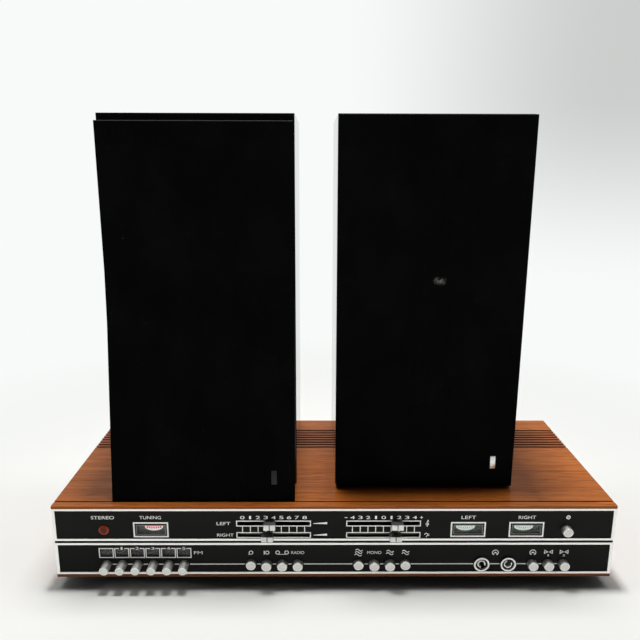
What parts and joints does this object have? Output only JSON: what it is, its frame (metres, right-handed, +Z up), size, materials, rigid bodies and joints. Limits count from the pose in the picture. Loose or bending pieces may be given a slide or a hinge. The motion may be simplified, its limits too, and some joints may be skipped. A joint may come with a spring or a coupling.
{
  "type": "stereo system",
  "caption": "Low teak stereo receiver with slider and push-button controls on a black front, and a pair of black bookshelf loudspeakers standing on its deck.",
  "frame": {"origin": "on the floor under the middle of the whole object's box", "axes": "+X to the listener's right along the receiver, +Y to the back, +Z up"},
  "size_m": [0.56, 0.233, 0.4648],
  "materials": {
    "teak": "oiled teak veneer, satin",
    "panel_black": "black anodised sheet with white print",
    "trim_aluminium": "satin anodised",
    "chassis_steel": "zinc plated",
    "rear_black": "black lacquer",
    "circuit_laminate": "phenolic laminate",
    "transformer_iron": "varnished laminations",
    "heat_sink_black": "black anodised",
    "control_plastic": "moulded",
    "window_clear": "clear acrylic",
    "lamp_red": "tinted lens",
    "foot_rubber": "moulded",
    "button_aluminium": "turned and satin anodised",
    "slider_plastic": "moulded, pale front",
    "needle_paint": "painted",
    "foil_black": "chipboard wrapped in black foil",
    "baffle_black": "black painted chipboard",
    "woofer_steel": "pressed and painted",
    "cone_paper": "pressed paper",
    "tweeter_plastic": "moulded",
    "grille_frame_wood": "black painted fibreboard",
    "grille_cloth": "fine black woven cloth"
  },
  "bodies": {
    "receiver": {"top_board": "teak", "side_panels": "teak", "base_board": "teak", "rear_panel": "rear_black", "upper_fascia": "panel_black", "lower_fascia": "panel_black", "fascia_trims": "trim_aluminium", "chassis_tray": "chassis_steel", "circuit_board": "circuit_laminate", "power_transformer": "transformer_iron", "heat_sink": "heat_sink_black", "tuner_module": "chassis_steel", "switch_banks": "control_plastic", "slide_potentiometers": "control_plastic", "meter_cases": "control_plastic", "display_windows": "window_clear", "stereo_lamp": "lamp_red", "headphone_sockets": "control_plastic", "rear_sockets": "control_plastic", "feet": "foot_rubber", "case_screws": "chassis_steel"},
    "preset_button_1": {"preset_button_1": "button_aluminium"},
    "preset_button_2": {"preset_button_2": "button_aluminium"},
    "preset_button_3": {"preset_button_3": "button_aluminium"},
    "preset_button_4": {"preset_button_4": "button_aluminium"},
    "preset_button_5": {"preset_button_5": "button_aluminium"},
    "preset_button_6": {"preset_button_6": "button_aluminium"},
    "source_button_1": {"source_button_1": "button_aluminium"},
    "source_button_2": {"source_button_2": "button_aluminium"},
    "source_button_3": {"source_button_3": "button_aluminium"},
    "source_button_4": {"source_button_4": "button_aluminium"},
    "mode_button_1": {"mode_button_1": "button_aluminium"},
    "mode_button_2": {"mode_button_2": "button_aluminium"},
    "mode_button_3": {"mode_button_3": "button_aluminium"},
    "mode_button_4": {"mode_button_4": "button_aluminium"},
    "speaker_button_1": {"speaker_button_1": "button_aluminium"},
    "speaker_button_2": {"speaker_button_2": "button_aluminium"},
    "speaker_button_3": {"speaker_button_3": "button_aluminium"},
    "power_button": {"power_button": "button_aluminium"},
    "volume_slider_left": {"volume_slider_left": "slider_plastic"},
    "volume_slider_right": {"volume_slider_right": "slider_plastic"},
    "treble_slider": {"treble_slider": "slider_plastic"},
    "bass_slider": {"bass_slider": "slider_plastic"},
    "tuning_meter_needle": {"tuning_meter_needle": "needle_paint"},
    "left_meter_needle": {"left_meter_needle": "needle_paint"},
    "right_meter_needle": {"right_meter_needle": "needle_paint"},
    "left_speaker": {"left_cabinet": "foil_black", "left_baffle": "baffle_black", "left_woofer": "woofer_steel", "left_tweeter": "tweeter_plastic"},
    "left_cone": {"left_woofer_cone": "cone_paper"},
    "left_grille": {"left_grille_frame": "grille_frame_wood", "left_grille_cloth": "grille_cloth"},
    "right_speaker": {"right_cabinet": "foil_black", "right_baffle": "baffle_black", "right_woofer": "woofer_steel", "right_tweeter": "tweeter_plastic"},
    "right_cone": {"right_woofer_cone": "cone_paper"},
    "right_grille": {"right_grille_frame": "grille_frame_wood", "right_grille_cloth": "grille_cloth"}
  },
  "joints": [
    {"name": "preset_button_1_push", "type": "slide", "parent": "receiver", "child": "preset_button_1", "axis": [0, 1, 0], "range_m": [0, 0.0023], "stiffness_N_per_m": 150},
    {"name": "preset_button_2_push", "type": "slide", "parent": "receiver", "child": "preset_button_2", "axis": [0, 1, 0], "range_m": [0, 0.0023], "stiffness_N_per_m": 150},
    {"name": "preset_button_3_push", "type": "slide", "parent": "receiver", "child": "preset_button_3", "axis": [0, 1, 0], "range_m": [0, 0.0023], "stiffness_N_per_m": 150},
    {"name": "preset_button_4_push", "type": "slide", "parent": "receiver", "child": "preset_button_4", "axis": [0, 1, 0], "range_m": [0, 0.0023], "stiffness_N_per_m": 150},
    {"name": "preset_button_5_push", "type": "slide", "parent": "receiver", "child": "preset_button_5", "axis": [0, 1, 0], "range_m": [0, 0.0023], "stiffness_N_per_m": 150},
    {"name": "preset_button_6_push", "type": "slide", "parent": "receiver", "child": "preset_button_6", "axis": [0, 1, 0], "range_m": [0, 0.0023], "stiffness_N_per_m": 150},
    {"name": "source_button_1_push", "type": "slide", "parent": "receiver", "child": "source_button_1", "axis": [0, 1, 0], "range_m": [-0.0023, 0], "stiffness_N_per_m": 150},
    {"name": "source_button_2_push", "type": "slide", "parent": "receiver", "child": "source_button_2", "axis": [0, 1, 0], "range_m": [0, 0.0023], "stiffness_N_per_m": 150},
    {"name": "source_button_3_push", "type": "slide", "parent": "receiver", "child": "source_button_3", "axis": [0, 1, 0], "range_m": [0, 0.0023], "stiffness_N_per_m": 150},
    {"name": "source_button_4_push", "type": "slide", "parent": "receiver", "child": "source_button_4", "axis": [0, 1, 0], "range_m": [0, 0.0023], "stiffness_N_per_m": 150},
    {"name": "mode_button_1_push", "type": "slide", "parent": "receiver", "child": "mode_button_1", "axis": [0, 1, 0], "range_m": [-0.0023, 0], "stiffness_N_per_m": 150},
    {"name": "mode_button_2_push", "type": "slide", "parent": "receiver", "child": "mode_button_2", "axis": [0, 1, 0], "range_m": [0, 0.0023], "stiffness_N_per_m": 150},
    {"name": "mode_button_3_push", "type": "slide", "parent": "receiver", "child": "mode_button_3", "axis": [0, 1, 0], "range_m": [0, 0.0023], "stiffness_N_per_m": 150},
    {"name": "mode_button_4_push", "type": "slide", "parent": "receiver", "child": "mode_button_4", "axis": [0, 1, 0], "range_m": [-0.0023, 0], "stiffness_N_per_m": 150},
    {"name": "speaker_button_1_push", "type": "slide", "parent": "receiver", "child": "speaker_button_1", "axis": [0, 1, 0], "range_m": [0, 0.0023], "stiffness_N_per_m": 150},
    {"name": "speaker_button_2_push", "type": "slide", "parent": "receiver", "child": "speaker_button_2", "axis": [0, 1, 0], "range_m": [0, 0.0023], "stiffness_N_per_m": 150},
    {"name": "speaker_button_3_push", "type": "slide", "parent": "receiver", "child": "speaker_button_3", "axis": [0, 1, 0], "range_m": [0, 0.0023], "stiffness_N_per_m": 150},
    {"name": "power_button_push", "type": "slide", "parent": "receiver", "child": "power_button", "axis": [0, 1, 0], "range_m": [0, 0.0023], "stiffness_N_per_m": 150},
    {"name": "volume_slider_left_travel", "type": "slide", "parent": "receiver", "child": "volume_slider_left", "axis": [1, 0, 0], "range_m": [-0.027, 0.0348]},
    {"name": "volume_slider_right_travel", "type": "slide", "parent": "receiver", "child": "volume_slider_right", "axis": [1, 0, 0], "range_m": [-0.0246, 0.0372]},
    {"name": "treble_slider_travel", "type": "slide", "parent": "receiver", "child": "treble_slider", "axis": [1, 0, 0], "range_m": [-0.0444, 0.0174]},
    {"name": "bass_slider_travel", "type": "slide", "parent": "receiver", "child": "bass_slider", "axis": [1, 0, 0], "range_m": [-0.0429, 0.0189]},
    {"name": "tuning_meter_swing", "type": "hinge", "parent": "receiver", "child": "tuning_meter_needle", "pos_m": [-0.18309, -0.0957, 0.06045], "axis": [0, 1, 0], "range_deg": [0, 80]},
    {"name": "left_meter_swing", "type": "hinge", "parent": "receiver", "child": "left_meter_needle", "pos_m": [0.13331, -0.0957, 0.06045], "axis": [0, 1, 0], "range_deg": [0, 80]},
    {"name": "right_meter_swing", "type": "hinge", "parent": "receiver", "child": "right_meter_needle", "pos_m": [0.1916, -0.0957, 0.06045], "axis": [0, 1, 0], "range_deg": [0, 80]},
    {"name": "left_speaker_lift", "type": "slide", "parent": "receiver", "child": "left_speaker", "axis": [0, 0, 1], "range_m": [0, 0.1]},
    {"name": "left_cone_stroke", "type": "slide", "parent": "left_speaker", "child": "left_cone", "axis": [0, -1, 0], "range_m": [-0.003, 0.003], "stiffness_N_per_m": 1000},
    {"name": "left_grille_swing", "type": "hinge", "parent": "left_speaker", "child": "left_grille", "pos_m": [-0.13099, -0.0578, 0.45753], "axis": [-1, 0, 0], "range_deg": [0, 12]},
    {"name": "right_speaker_lift", "type": "slide", "parent": "receiver", "child": "right_speaker", "axis": [0, 0, 1], "range_m": [0, 0.1]},
    {"name": "right_cone_stroke", "type": "slide", "parent": "right_speaker", "child": "right_cone", "axis": [0, -1, 0], "range_m": [-0.003, 0.003], "stiffness_N_per_m": 1000},
    {"name": "right_grille_swing", "type": "hinge", "parent": "right_speaker", "child": "right_grille", "pos_m": [0.09341, -0.0578, 0.4638], "axis": [-1, 0, 0], "range_deg": [0, 12]}
  ]
}
